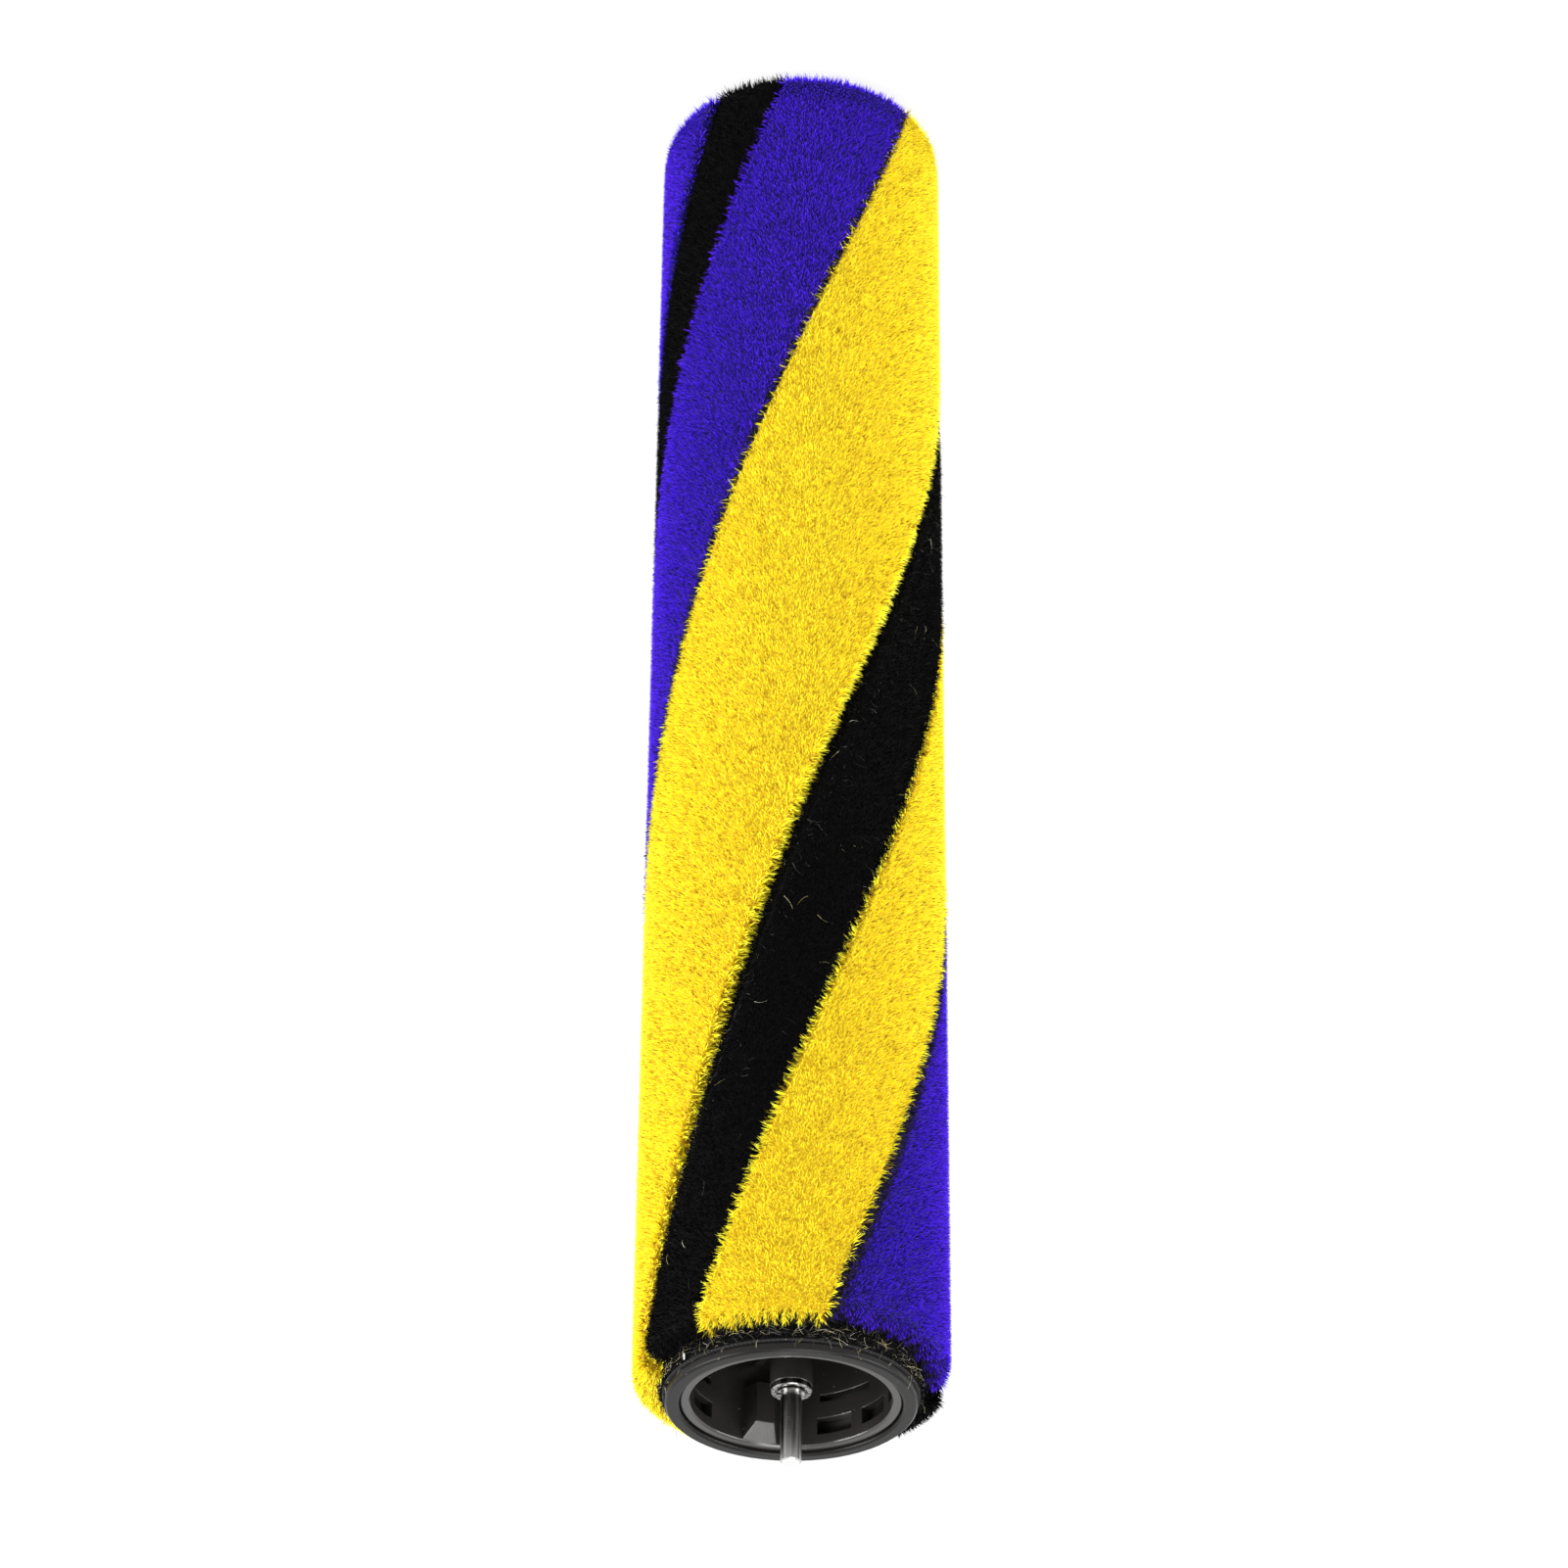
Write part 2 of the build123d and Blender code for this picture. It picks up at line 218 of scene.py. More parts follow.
def blend(graph, factor, low, high):
    """Mix of two colours."""
    inputs = {"Factor": factor, 6: low, 7: high}
    return graph.node("ShaderNodeMix", {"data_type": "RGBA"}, inputs, output=2)


def noise(graph, place, scale, detail, output="Fac"):
    """Noise with so many features to the metre."""
    inputs = {"Vector": place, "Scale": scale, "Detail": detail}
    return graph.node("ShaderNodeTexNoise", {}, inputs, output=output)


print("graph helpers ready")

# %% [markdown]
# ## Floor and light
#
# Soft pile needs a broad light, or each tuft throws a hard shadow. The world gives even
# light, a large softbox on either side gives form, and a small one above lights the near
# end. The floor stays white for the camera while it keeps a faint shadow.

# %% Floor, world and lamps
FLOOR_SIDE = 6.0
FLOOR_SHADOW = 0.15
WORLD_STRENGTH = 0.86
KEY_POWER, KEY_SIDE, KEY_PLACE = 26.0, 0.8, Vector((1.1, -0.35, 0.5))
SIDE_POWER, SIDE_SIDE, SIDE_PLACE = 18.5, 0.8, Vector((-1.1, -0.35, 0.4))
TOP_POWER, TOP_SIDE, TOP_PLACE = 4.5, 0.5, Vector((-0.15, -0.3, 1.2))


def white_rays(graph):
    """1 for rays that meet plain white: from the camera, off gloss and through glass."""
    path = graph.node("ShaderNodeLightPath")
    return (path + path.out("Is Glossy Ray") + path.out("Is Transmission Ray")).clamp()


def make_floor():
    """Pale floor whose light to the camera is mostly white, with some of the real shadow."""
    mesh = bpy.data.meshes.new("floor")
    half = FLOOR_SIDE / 2
    corners = [(-half, -half, 0), (half, -half, 0), (half, half, 0), (-half, half, 0)]
    mesh.from_pydata(corners, [], [(0, 1, 2, 3)])
    material, graph, shader = new_material("floor_paper")
    feed(graph, shader, Base_Color=colour(244, 244, 244), Roughness=0.9)
    white = graph.node("ShaderNodeEmission", {}, {"Color": (1, 1, 1, 1), "Strength": 1.0})
    share = white_rays(graph) * (1 - FLOOR_SHADOW)
    paper = Flow(graph, shader.outputs[0])
    mixed = graph.node("ShaderNodeMixShader", {}, {0: share, 1: paper, 2: white})
    graph.tree.links.new(mixed.socket, graph.tree.nodes["Material Output"].inputs["Surface"])
    mesh.materials.append(material)
    add_object("floor", mesh)


def make_world():
    """Even white world: a plain level for light, and full white for the camera and for gloss."""
    world = bpy.data.worlds.new("studio")
    world.use_nodes = True
    bpy.context.scene.world = world
    graph = Graph(world.node_tree)
    background = world.node_tree.nodes["Background"]
    background.inputs["Color"].default_value = (1, 1, 1, 1)
    strength = WORLD_STRENGTH + (1 - WORLD_STRENGTH) * white_rays(graph)
    graph.tree.links.new(strength.socket, background.inputs["Strength"])


def make_softbox(name, power, side, place):
    """Square area lamp that faces the middle of the roller."""
    lamp = bpy.data.lights.new(name, "AREA")
    lamp.energy = power
    lamp.size = side
    box = add_object(name, lamp)
    box.location = place
    box.rotation_euler = (place - VIEW_TARGET).to_track_quat("Z", "Y").to_euler()


make_floor()
make_world()
make_softbox("key_softbox", KEY_POWER, KEY_SIDE, KEY_PLACE)
make_softbox("side_softbox", SIDE_POWER, SIDE_SIDE, SIDE_PLACE)
make_softbox("top_softbox", TOP_POWER, TOP_SIDE, TOP_PLACE)
bpy.context.scene.view_settings.view_transform = "Standard"
print("floor, world and three softboxes ready")

# %% [markdown]
# ## Pile finish
#
# Pile is bright at its tips and dark between its tufts, and no two tufts are quite the same.
# Here that light and dark are painted: the darker root and the dark colour of a gap are
# painted shade, and the pale tip is a painted highlight. Each tuft carries two numbers, how far
# a point is from the root and the tuft's own shade, and the finish reads only those two. The
# same two numbers are the pile's UV map, so a small texture holds every colour that the pile
# has. A tuft with a low shade stands for a gap between others, and shows the painted shade of
# the gap below its tip. Tufts of the black yarn that edges some fields have a shade below zero;
# at the seams between blue and yellow fields that black is partly painted shadow.

# %% Pile finish
INK_SHADE = -0.1
# Black of the edging yarn; at the seams between blue and yellow fields it also paints their shadow.
INK_AND_SHADOW = (11, 10, 11)


def pile_finish(name, gap, root, body, tip, gloss, sheen, sheen_tint):
    """Finish of one pile yarn: the painted shade of its gaps, then its colour from the root of a
    tuft to its tip, from painted shade at the root to a painted highlight at the tip.
    """
    material, graph, shader = new_material(name)
    tip_value = graph.node("ShaderNodeAttribute", {"attribute_name": "tip"}, output="Fac")
    shade = graph.node("ShaderNodeAttribute", {"attribute_name": "shade"}, output="Fac")
    # Painted shade at the root, the yarn's body colour, and a painted highlight at the tip.
    bright_stops = [(0.0, root), (0.45, body), (1.0, tip)]
    bright = graph.node("ShaderNodeValToRGB", {"stops": bright_stops}, {"Fac": tip_value})
    # Tufts of low shade: the painted shade of a gap up to half their length, then the root's colour.
    dark = graph.node("ShaderNodeValToRGB", {"stops": [(0.5, gap), (1.0, root)]}, {"Fac": tip_value})
    yarn = blend(graph, shade.clamp(), dark, bright)
    inked = blend(graph, shade < 0.0, yarn, colour(*INK_AND_SHADOW))
    feed(graph, shader, Base_Color=inked, Roughness=0.75, Specular_IOR_Level=gloss)
    feed(graph, shader, Sheen_Weight=sheen, Sheen_Roughness=0.45, Sheen_Tint=colour(*sheen_tint))
    return material


# Each yarn: painted shade of its gaps, a root darkened as painted shade, its body, and a tip paled as a
# painted highlight.
YELLOW = [(150, 108, 2), (245, 219, 8), (250, 244, 32), (253, 251, 92)]
BLUE = [(5, 0, 40), (20, 0, 124), (64, 8, 228), (120, 66, 255)]
BLACK = [(1, 1, 1), (3, 3, 3), (6, 6, 6), (20, 19, 20)]
PILE_FINISHES = {
    "yellow_pile": pile_finish("yellow_pile", *YELLOW, 0.25, 0.15, (255, 245, 160)),
    "blue_pile": pile_finish("blue_pile", *BLUE, 0.16, 0.45, (150, 118, 255)),
    "black_pile": pile_finish("black_pile", *BLACK, 0.08, 0.0, (90, 90, 95)),
}
print("pile finishes:", ", ".join(PILE_FINISHES))

# %% [markdown]
# ## Pile fields
#
# Each field is a strip that winds round the tube. Modelling every fibre is far too much, and a
# bump map has no silhouette, so each field gets a solid bed with rounded shoulders, and tufts
# are scattered on it along the bed's normals. The shoulders make the tufts fan out at the
# seams and at the ends, as cut pile does. The near end of the bed is cut in a zigzag, because
# the real pile stands in rows of tufts and its last row is ragged. One seam sways off its
# helix, as it does in the photo. Each point of the bed also carries numbers that
# tell its tufts how to grow: how near black yarn is, which at the seams between blue and
# yellow is partly painted shadow, how long and how ragged they are at an edge, and how combed.

# %% Sizes of the fields
@dataclass
class Side:
    """One long side of a field: how wide its rounded shoulder is, how far it stands back from
    the line between two fields, how wide its edge of black yarn is, which at the seams between
    blue and yellow is partly painted shadow, and how far it sways."""

    shoulder: float
    back: float
    ink: float = 0.0
    sway: float = 0.0


@dataclass
class End:
    """The near end of a field: how far it is trimmed, how deep its teeth are, and how deep black
    yarn shows between them."""

    trim: float
    teeth: float
    ink: float = 0.0


@dataclass
class Field:
    """A field of pile: its angle round the tube, its near end and its two sides."""

    name: str
    slot: str
    angle: float
    end: End
    first: Side
    last: Side


HELIX_LEAD = 369 * MM
FIRST_SEAM = -10.0
BED_DEPTH = 0.5 * MM
BED_LIFT = 0.02 * MM
END_SHOULDER = 1.4 * MM
ROW_PITCH = 1.4 * MM
NO_INK, INK_FLOOR = 9.0, 0.01 * MM
FRINGE_WIDTH = 1.1 * MM
SIDE_FRINGE, END_FRINGE = 0.8, 1.2
SWAY_LEVELS = (135 * MM, 200 * MM)
SEAM_SWAY = 1.2 * MM
BED_COLUMN = 0.4 * MM
BED_ROW = 4.5 * MM
SOFT = Side(0.55 * MM, 0.05 * MM)
SEAM = Side(0.6 * MM, 1.2 * MM)
PARTED = Side(1.8 * MM, 0.3 * MM, sway=SEAM_SWAY)
SWAYED_SEAM = replace(SEAM, sway=SEAM_SWAY)
CLOSE_SEAM = replace(SEAM, back=0.2 * MM)
TRIMMED = replace(SOFT, back=0.45 * MM)
# Black yarn at the seams between blue and yellow fields: partly real yarn, partly painted shadow of the
# seam.
WIDE_INK_AND_SHADOW, THIN_INK_AND_SHADOW, SEAM_INK_AND_SHADOW = (replace(SOFT, ink=width * MM) for width in (1.4, 0.5, 0.55))
BLACK_A_END = End(0.6 * MM, 0.5 * MM)
BLACK_B_END = End(-0.8 * MM, 0.6 * MM)
YELLOW_NARROW_END = End(0.5 * MM, 0.55 * MM, 0.6 * MM)
YELLOW_WIDE_END = End(-0.6 * MM, 0.7 * MM)
BLUE_NARROW_END = End(0.3 * MM, 0.7 * MM)
BLUE_WIDE_END = End(1.5 * MM, 0.7 * MM, 1.0 * MM)
FIELDS = [
    Field("black_pile_a", "black_pile", 37.0, BLACK_A_END, PARTED, SOFT),
    Field("yellow_pile_narrow", "yellow_pile", 52.0, YELLOW_NARROW_END, TRIMMED, THIN_INK_AND_SHADOW),
    Field("blue_pile_wide", "blue_pile", 91.0, BLUE_WIDE_END, WIDE_INK_AND_SHADOW, SEAM),
    Field("black_pile_b", "black_pile", 31.0, BLACK_B_END, CLOSE_SEAM, SOFT),
    Field("blue_pile_narrow", "blue_pile", 58.0, BLUE_NARROW_END, SOFT, THIN_INK_AND_SHADOW),
    Field("yellow_pile_wide", "yellow_pile", 91.0, YELLOW_WIDE_END, SEAM_INK_AND_SHADOW, SWAYED_SEAM),
]
print(f"{len(FIELDS)} fields cover {sum(field.angle for field in FIELDS):.0f} degrees")


# %% Bed of a field
def shoulder(distance, width):
    """Height of a rounded edge, from 0 at the edge to 1 past its width."""
    return np.sqrt(1 - (1 - np.clip(distance / width, 0, 1)) ** 2)


def spread(length, step, edge_low, edge_high):
    """Places from 0 to length, a step apart in the middle and closer on the two shoulders."""
    ease = 1 - np.cos(np.linspace(0, math.pi / 2, 6))
    steps = max(3, round((length - edge_low - edge_high) / step))
    middle = np.linspace(edge_low, length - edge_high, steps)
    return np.unique(np.concatenate([edge_low * ease, middle, length - edge_high * ease]))


def tooth_wave(places):
    """Ragged row of pointed teeth, from 0 at the tips to 1 between them."""
    slow = 0.9 * np.sin(places / (2.7 * ROW_PITCH) * 2 * math.pi)
    quick = 0.6 * np.sin(places / (1.63 * ROW_PITCH) * 2 * math.pi)
    return np.abs(np.sin(math.pi * places / ROW_PITCH + (slow + quick) / 2))


def wander(height):
    """How a seam strays from its helix: -1 up to the first level, and 1 past the second."""
    share = np.clip((height - SWAY_LEVELS[0]) / (SWAY_LEVELS[1] - SWAY_LEVELS[0]), 0, 1)
    return 2 * share**2 * (3 - 2 * share) - 1


def mark(mesh, name, values, domain="POINT"):
    """Writes a number for each point or face of a mesh."""
    mesh.attributes.new(name, "FLOAT", domain).data.foreach_set("value", values)


def bed_faces(rows, columns):
    """Faces of the top of a bed, and of its underside, which shares the top's outer edge."""
    number = np.arange(rows * columns).reshape(rows, columns)
    corners = [number[:-1, :-1], number[1:, :-1], number[1:, 1:], number[:-1, 1:]]
    top = np.stack(corners, -1).reshape(-1, 4)
    edge = np.ones((rows, columns), bool)
    edge[1:-1, 1:-1] = False
    below = np.where(edge, number, number + rows * columns).reshape(-1)
    return top, below[top][:, ::-1]


def growth(field, width, s, z):
    """What the points of a bed tell its tufts, from their places across the field and along it."""
    from_first = s - field.first.back
    from_last = width - field.last.back - s
    to_end = z.max() - z
    ink = np.full(s.shape, NO_INK)
    for side, depth in ((field.first, from_first), (field.last, from_last)):
        if side.ink:
            ink = np.minimum(ink, depth / side.ink)
    ink = np.minimum(ink, to_end / (field.end.ink * tooth_wave(s) ** 2 + INK_FLOOR))
    beside = np.clip(1 - np.minimum(from_first, from_last) / FRINGE_WIDTH, 0, 1)
    far = np.clip(1 - z / FRINGE_WIDTH, 0, 1)
    return {
        "ink": ink,
        "reach": 1 + SIDE_FRINGE * beside + END_FRINGE * far,
        "calm": np.clip(1 - to_end / (2 * FRINGE_WIDTH), 0, 1),
        "fringe": np.maximum(beside, far),
        "bed_u": s / width,
        "bed_v": z / z.max(),
    }


def field_bed(name, field, start):
    """Closed bed of one field that winds round the tube, from its angle at the near rim."""
    first, last = field.first, field.last
    width = math.radians(field.angle) * PILE_RADIUS
    breadth = width - first.back - last.back
    across = first.back + spread(breadth, BED_COLUMN, first.shoulder, last.shoulder)
    along = spread(PILE_HIGH - field.end.trim - PILE_LOW, BED_ROW, END_SHOULDER, END_SHOULDER)
    s, z = np.meshgrid(across, along)
    share = np.clip((z - (along[-1] - 3 * END_SHOULDER)) / (3 * END_SHOULDER), 0, 1)
    height = PILE_LOW + z - field.end.teeth * tooth_wave(s) * share
    rise = shoulder(s - first.back, first.shoulder) * shoulder(width - last.back - s, last.shoulder)
    rise *= shoulder(z, END_SHOULDER) * shoulder(along[-1] - z, END_SHOULDER)
    foot = BACKING_RADIUS + BED_LIFT
    radius = foot + (PILE_RADIUS - BED_DEPTH - foot) * rise
    drift = (first.sway * (1 - s / width) + last.sway * s / width) * wander(height)
    winding = 2 * math.pi * (height - TUBE_TOP) / HELIX_LEAD
    angle = math.radians(start) - (s + drift) / PILE_RADIUS + winding
    top = np.stack([radius * np.cos(angle), radius * np.sin(angle), height], -1).reshape(-1, 3)
    under = np.stack([foot * np.cos(angle), foot * np.sin(angle), height], -1).reshape(-1, 3)
    upper, lower = bed_faces(len(along), len(across))
    mesh = bpy.data.meshes.new(name)
    mesh.from_pydata(np.concatenate([top, under]).tolist(), [], np.concatenate([upper, lower]).tolist())
    mark(mesh, "grow", np.repeat([1.0, 0.0], len(upper)), "FACE")
    for label, values in growth(field, width, s, z).items():
        mark(mesh, label, np.tile(values.reshape(-1), 2))
    bm = bmesh.new()
    bm.from_mesh(mesh)
    bmesh.ops.delete(bm, geom=[v for v in bm.verts if not v.link_faces], context="VERTS")
    bmesh.ops.recalc_face_normals(bm, faces=bm.faces)
    bm.to_mesh(mesh)
    bm.free()
    mesh.shade_smooth()
    return add_object(name, mesh)


print("a bed is made for each field below")

# %% [markdown]
# ## Tufts
#
# Geometry Nodes scatter the tufts. Each is a slender blade of one triangle. A cone takes
# several, so blades can stand closer for the same number of triangles. A blade stands along
# the bed's normal, leans with its neighbours by a slow noise, and then a little by itself,
# which gives the brushed swirls of a used pile. Blades also lean towards the middle of a small
# clump. At the edges of a field the blades of a clump lean much the same way and grow longer
# together, so the edge breaks up into spikes.


# %% Helpers for trees
FULL_TURN = 6.28


def new_tree(name, inputs):
    """Empty geometry tree with a Geometry socket and named inputs, and their identifiers."""
    tree = bpy.data.node_groups.new(name, "GeometryNodeTree")
    tree.interface.new_socket("Geometry", in_out="INPUT", socket_type="NodeSocketGeometry")
    tree.interface.new_socket("Geometry", in_out="OUTPUT", socket_type="NodeSocketGeometry")
    keys = {}
    for label, kind in inputs.items():
        socket = tree.interface.new_socket(label, in_out="INPUT", socket_type=f"NodeSocket{kind}")
        keys[label] = socket.identifier
    return Graph(tree), keys


def finish_tree(graph, geometry, material):
    """Realizes what was scattered, gives it its finish and ends the tree."""
    real = graph.node("GeometryNodeRealizeInstances", {}, {"Geometry": geometry})
    done = graph.node("GeometryNodeSetMaterial", {}, {"Geometry": real, "Material": material})
    graph.node("NodeGroupOutput", {}, {"Geometry": done})


def run_tree(piece, graph, keys, values):
    """Runs a tree on a piece, then leaves it as a plain mesh with no modifier."""
    modifier = piece.modifiers.new("grow", "NODES")
    modifier.node_group = graph.tree
    for label, value in values.items():
        modifier[keys[label]] = value
    depsgraph = bpy.context.evaluated_depsgraph_get()
    mesh = bpy.data.meshes.new_from_object(
        piece.evaluated_get(depsgraph), preserve_all_data_layers=True, depsgraph=depsgraph
    )
    piece.modifiers.remove(modifier)
    piece.data = mesh
    mesh.name = piece.name
    return piece


def triangles(piece):
    """How many triangles a piece has."""
    return sum(len(face.vertices) - 2 for face in piece.data.polygons)


def store(graph, geometry, name, value, kind="FLOAT", domain="POINT"):
    """Writes a named attribute."""
    settings = {"data_type": kind, "domain": domain}
    inputs = {"Geometry": geometry, "Name": name, "Value": value}
    return graph.node("GeometryNodeStoreNamedAttribute", settings, inputs)


def read(graph, name):
    """Reads a named attribute."""
    return graph.node("GeometryNodeInputNamedAttribute", {"data_type": "FLOAT"}, {"Name": name})


def choose(graph, switch, no, yes):
    """One of two values."""
    inputs = {"Switch": switch, "False": no, "True": yes}
    return graph.node("GeometryNodeSwitch", {"input_type": "FLOAT"}, inputs)


def scaled(graph, arrow, factor):
    """A vector times a value."""
    return graph.node("ShaderNodeVectorMath", {"operation": "SCALE"}, {0: arrow, "Scale": factor})


def chance(graph, seed, low=0.0, high=1.0):
    """A random number for each point."""
    inputs = {2: low, 3: high, "Seed": seed}
    return graph.node("FunctionNodeRandomValue", {"data_type": "FLOAT"}, inputs, output=1)


def any_way(graph, seed):
    """A random vector for each point."""
    inputs = {0: (-1, -1, -1), 1: (1, 1, 1), "Seed": seed}
    return graph.node("FunctionNodeRandomValue", {"data_type": "FLOAT_VECTOR"}, inputs)


def aim(graph, heading, seed):
    """Rotation that points Z along a heading, with a random twist about it."""
    turn = graph.node("FunctionNodeAlignRotationToVector", {"axis": "Z"}, {"Vector": heading})
    twist = chance(graph, seed, 0.0, FULL_TURN)
    twist = graph.node("FunctionNodeAxisAngleToRotation", {}, {"Axis": (0, 0, 1), "Angle": twist})
    return graph.node("FunctionNodeRotateRotation", {"rotation_space": "LOCAL"}, {0: turn, 1: twist})


def scatter(graph, points, shape, turn, size):
    """The shape on each point."""
    inputs = {"Points": points, "Instance": shape, "Rotation": turn, "Scale": size}
    return graph.node("GeometryNodeInstanceOnPoints", {}, inputs)


print("tree helpers ready")

# %% Tree that grows tufts
CLUMP_PITCH = 0.55 * MM
SWIRL_SCALE, PATCH_SCALE = 1400.0, 2800.0
END_COMBED = 0.85
FRINGE_SWIRL, FRINGE_STRAY, FRINGE_CLUMP, FRINGE_JOIN = 2.6, 0.6, 0.4, 3
TUFT_SHORTEST, TUFT_TALLEST = 0.72, 1.12
LUCK_LEAST, LUCK_SPAN = 0.2, 1.6
# A low tuft shade paints the shade of a gap between tufts; the bed's shade of 0.4 paints it mostly in that
# gap shade.
SHADE_CHANCE, SHADE_PATCH, SHADE_SHIFT = 6, 3, 2.4
DULLEST, BRIGHTEST, BED_SHADE, BED_TIP = 0.02, 0.98, 0.4, -0.01
CIRCLE_BACK, CIRCLE_DEPTH, CIRCLE_HALF = 0.5, 1.5, 0.866


def tuft_lean(graph, given, place, centre):
    """How far a tuft leans: with its neighbours, to the middle of its clump and by itself."""
    fringe = read(graph, "fringe")
    inward = vector(graph, "SUBTRACT", centre, place)
    joined = vector(graph, "ADD", place, scaled(graph, inward, (FRINGE_JOIN * fringe).clamp()))
    swirl = vector(graph, "SUBTRACT", noise(graph, joined, SWIRL_SCALE, 1.0, "Color"), (0.5, 0.5, 0.5))
    combed = 1 - END_COMBED * read(graph, "calm")
    swirl = scaled(graph, swirl, given.out("Swirl") * combed * (1 + FRINGE_SWIRL * fringe))
    gathered = given.out("Clump") * (1 + FRINGE_CLUMP * fringe) / CLUMP_PITCH
    gather = scaled(graph, inward, gathered)
    stray = scaled(graph, any_way(graph, 3), given.out("Stray") * (1 - FRINGE_STRAY * fringe))
    shared = vector(graph, "ADD", swirl, gather)
    return vector(graph, "ADD", shared, vector(graph, "ADD", stray, given.out("Comb")))


def tuft_blade(graph, given, place):
    """Blade of one triangle, from a circle of three points that is laid out by its two numbers."""
    blade = graph.node("GeometryNodeMeshCircle", {"fill_type": "NGON"}, {"Vertices": 3, "Radius": 1.0})
    corner = graph.node("ShaderNodeSeparateXYZ", {}, {"Vector": place})
    blade = store(graph, blade, "tip", (corner + CIRCLE_BACK) / CIRCLE_DEPTH)
    blade = store(graph, blade, "side", corner.out("Y") / CIRCLE_HALF)
    outline = {"X": read(graph, "side") * given.out("Width"), "Z": read(graph, "tip") * given.out("Length")}
    outline = graph.node("ShaderNodeCombineXYZ", {}, outline)
    return graph.node("GeometryNodeSetPosition", {}, {"Geometry": blade, "Position": outline})


def tuft_shade(graph, place):
    """Shade of a tuft: its own chance and its patch's, where a low value paints the shade of a gap,
    or ink near an edge of black yarn, which at the blue and yellow seams is partly painted shadow.
    """
    patch = noise(graph, place, PATCH_SCALE, 0.0)
    shade = SHADE_CHANCE * chance(graph, 9) + SHADE_PATCH * patch - SHADE_SHIFT
    inked = read(graph, "ink") < chance(graph, 11, 0.5, 1.5)
    return choose(graph, inked, shade.clamp(DULLEST, BRIGHTEST), INK_SHADE)


def bake_map(graph, geometry, across, along):
    """UV map named OFBake, laid out from the two given numbers."""
    layout = graph.node("ShaderNodeCombineXYZ", {}, {"X": across, "Y": along})
    return store(graph, geometry, "OFBake", layout, "FLOAT2", "CORNER")


def tuft_tree():
    """Tree that scatters tufts on the faces that grow, and keeps the bed under them."""
    inputs = {
        "Spacing": "Float",
        "Density": "Float",
        "Length": "Float",
        "Width": "Float",
        "Clump": "Float",
        "Swirl": "Float",
        "Stray": "Float",
        "Comb": "Vector",
        "Seed": "Int",
        "Finish": "Material",
    }
    graph, keys = new_tree("pile_tufts", inputs)
    given = graph.node("NodeGroupInput")
    points = graph.node(
        "GeometryNodeDistributePointsOnFaces",
        {"distribute_method": "POISSON"},
        {
            "Mesh": given,
            "Distance Min": given.out("Spacing"),
            "Density Max": given.out("Density"),
            "Density Factor": read(graph, "grow"),
            "Seed": given.out("Seed"),
        },
    )
    place = graph.node("GeometryNodeInputPosition")
    clumps = {"Vector": place, "Scale": 1 / CLUMP_PITCH}
    centre = graph.node("ShaderNodeTexVoronoi", {}, clumps, output="Position")
    heading = vector(graph, "ADD", points.out("Normal"), tuft_lean(graph, given, place, centre))
    luck = graph.node("ShaderNodeTexWhiteNoise", {}, {"Vector": centre})
    longer = 1 + (read(graph, "reach") - 1) * (LUCK_LEAST + LUCK_SPAN * luck)
    tall = chance(graph, 7, TUFT_SHORTEST, TUFT_TALLEST) * longer
    size = graph.node("ShaderNodeCombineXYZ", {}, {"X": 1 + read(graph, "fringe"), "Y": 1.0, "Z": tall})
    tufts = scatter(graph, points, tuft_blade(graph, given, place), aim(graph, heading, 5), size)
    tufts = store(graph, tufts, "shade", tuft_shade(graph, place), domain="INSTANCE")
    tufts = graph.node("GeometryNodeRealizeInstances", {}, {"Geometry": tufts})
    across = 0.15 + 0.8 * read(graph, "shade") + 0.01 * read(graph, "side")
    tufts = bake_map(graph, tufts, across, 0.1 + 0.88 * read(graph, "tip"))

    bed = store(graph, given, "tip", BED_TIP)
    bed = store(graph, bed, "shade", choose(graph, read(graph, "ink") < 1.0, BED_SHADE, INK_SHADE))
    bed = bake_map(graph, bed, 0.15 + 0.8 * read(graph, "bed_v"), 0.02 + 0.06 * read(graph, "bed_u"))
    both = graph.node("GeometryNodeJoinGeometry", {}, {"Geometry": [tufts, bed]})
    finish_tree(graph, both, given.out("Finish"))
    return graph, keys


TUFT_TREE, TUFT_KEYS = tuft_tree()
print("tuft tree has", len(TUFT_TREE.tree.nodes), "nodes")

# %% Grow the six fields
TUFT_LENGTH = 0.9 * MM
TUFT_WIDTH = 0.08 * MM
TUFT_SPACING = {"yellow_pile": 0.145 * MM, "blue_pile": 0.145 * MM, "black_pile": 0.16 * MM}
TUFT_DENSITY = {"yellow_pile": 40e6, "blue_pile": 40e6, "black_pile": 30e6}


def grow_field(field, start, seed):
    """Makes the bed of a field, grows its tufts and puts it in place of its CAD solid."""
    bed = field_bed(f"{field.name}_tufts", field, start)
    values = {
        "Spacing": TUFT_SPACING[field.slot],
        "Density": TUFT_DENSITY[field.slot],
        "Length": TUFT_LENGTH,
        "Width": TUFT_WIDTH,
        "Clump": 0.3,
        "Swirl": 0.9,
        "Stray": 0.28,
        "Comb": (0, 0, 0),
        "Seed": seed,
        "Finish": PILE_FINISHES[field.slot],
    }
    run_tree(bed, TUFT_TREE, TUFT_KEYS, values)
    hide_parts(field.name)
    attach(bed, "roller")
    print(f"{field.name}: {triangles(bed)} triangles")


seam = FIRST_SEAM
for number, field in enumerate(FIELDS):
    grow_field(field, seam, number + 1)
    seam -= field.angle

